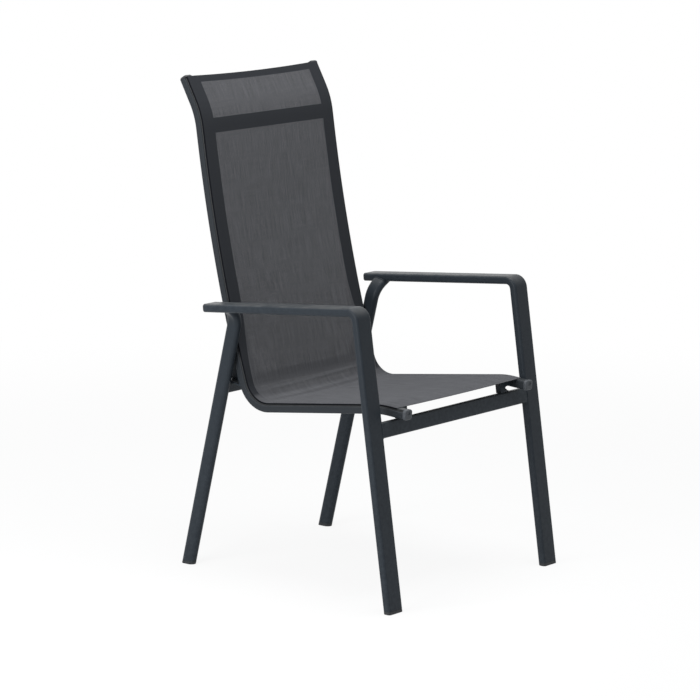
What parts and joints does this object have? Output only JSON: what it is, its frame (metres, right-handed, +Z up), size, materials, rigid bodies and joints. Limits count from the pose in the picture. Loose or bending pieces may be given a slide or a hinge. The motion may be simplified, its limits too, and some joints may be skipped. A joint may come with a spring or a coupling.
{
  "type": "sling patio chair",
  "caption": "High-backed stacking patio armchair: bent flat-tube side frames and crossbars carry two S-shaped rails with one stretched mesh sling.",
  "frame": {"origin": "middle of the chair's footprint box, on the floor", "axes": "+Z up, the sitter faces -Y, +X to the sitter's left"},
  "size_m": [0.5956, 0.6622, 1.0995],
  "materials": {
    "frame": "powder coat, fine satin texture, anthracite",
    "rail": "powder coat, fine satin texture, anthracite",
    "plastic": "moulded, fine texture, near black",
    "grey_plastic": "moulded, fine texture, mid grey",
    "sling": "coated open mesh weave, grey",
    "cord": "extruded, black",
    "steel": "stainless, satin"
  },
  "bodies": {
    "root": {"arm_leg_left": "frame", "arm_leg_right": "frame", "arm_end_plug_left": "plastic", "arm_end_plug_right": "plastic", "front_foot_cap_left": "plastic", "front_foot_cap_right": "plastic", "rear_leg_left": "frame", "rear_leg_right": "frame", "rear_foot_cap_left": "plastic", "rear_foot_cap_right": "plastic", "front_crossbar": "frame", "rear_crossbar": "frame", "sling_rail_left": "rail", "sling_rail_right": "rail", "rail_front_cap_left": "grey_plastic", "rail_front_cap_right": "grey_plastic", "rail_top_cap_left": "plastic", "rail_top_cap_right": "plastic", "edge_cord_left": "cord", "edge_cord_right": "cord", "sling": "sling", "spreader_bar": "frame", "spreader_end_left": "plastic", "spreader_end_right": "plastic", "front_bracket_left": "frame", "front_bracket_right": "frame", "rear_bracket_left": "frame", "rear_bracket_right": "frame", "front_foot_screw_left": "steel", "front_foot_screw_right": "steel", "front_rail_screw_left": "steel", "front_rail_screw_right": "steel", "rear_base_screw_left": "steel", "rear_base_screw_right": "steel", "rear_rail_screw_left": "steel", "rear_rail_screw_right": "steel"}
  },
  "joints": []
}
